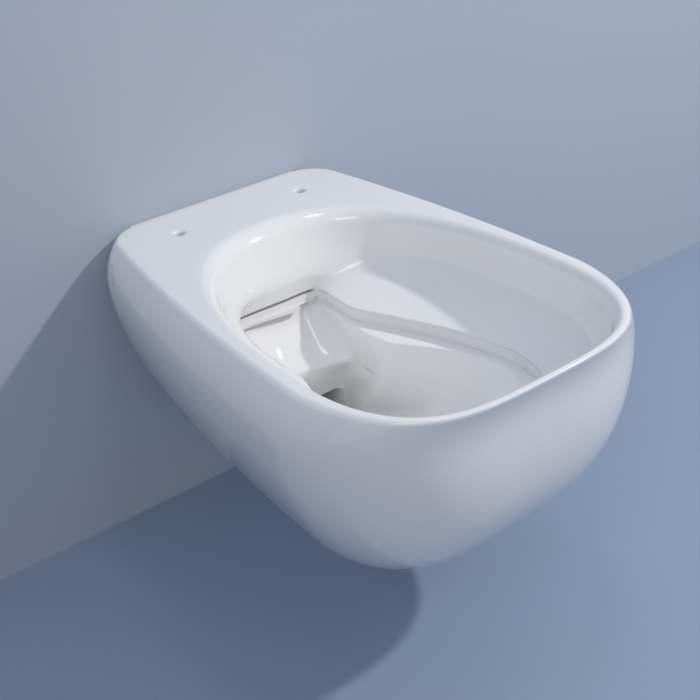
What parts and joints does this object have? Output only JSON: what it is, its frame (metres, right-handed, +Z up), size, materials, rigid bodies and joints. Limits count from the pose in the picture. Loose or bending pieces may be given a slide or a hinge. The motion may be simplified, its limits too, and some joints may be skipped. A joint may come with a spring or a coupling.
{
  "type": "wall hung toilet",
  "caption": "Wall hung rimless toilet pan in glazed ceramic with hidden side fixings, flush pipe and waste connector.",
  "frame": {"origin": "midway between the two wall studs, on the wall plane", "axes": "+Z up, +Y into the wall, so the front of the pan points along -Y, +X to the right seen from the front"},
  "size_m": [0.3842, 0.6295, 0.2501],
  "materials": {
    "glaze": "glossy white glaze",
    "cap": "glossy white plastic",
    "zinc_steel": "zinc plated",
    "nylon": "moulded nylon",
    "rubber": "black rubber",
    "pipe": "black polyethylene",
    "flush_tube": "white plastic tube"
  },
  "bodies": {
    "body": {"pan": "glaze", "left_wall_bracket": "zinc_steel", "left_wall_stud": "zinc_steel", "left_stud_washer": "zinc_steel", "left_stud_nut": "zinc_steel", "left_rivet_nut": "zinc_steel", "left_bracket_pad": "rubber", "left_screw_bush": "nylon", "left_side_screw": "zinc_steel", "right_wall_bracket": "zinc_steel", "right_wall_stud": "zinc_steel", "right_stud_washer": "zinc_steel", "right_stud_nut": "zinc_steel", "right_rivet_nut": "zinc_steel", "right_bracket_pad": "rubber", "right_screw_bush": "nylon", "right_side_screw": "zinc_steel", "flush_pipe": "flush_tube", "flush_seal": "rubber", "waste_connector": "pipe", "waste_seal": "rubber"},
    "left_cap": {"left_side_cap": "cap"},
    "right_cap": {"right_side_cap": "cap"}
  },
  "joints": [
    {"name": "left_cap_pull", "type": "slide", "parent": "body", "child": "left_cap", "axis": [-1, 0, 0], "range_m": [0, 0.03]},
    {"name": "right_cap_pull", "type": "slide", "parent": "body", "child": "right_cap", "axis": [1, 0, 0], "range_m": [0, 0.03]}
  ]
}
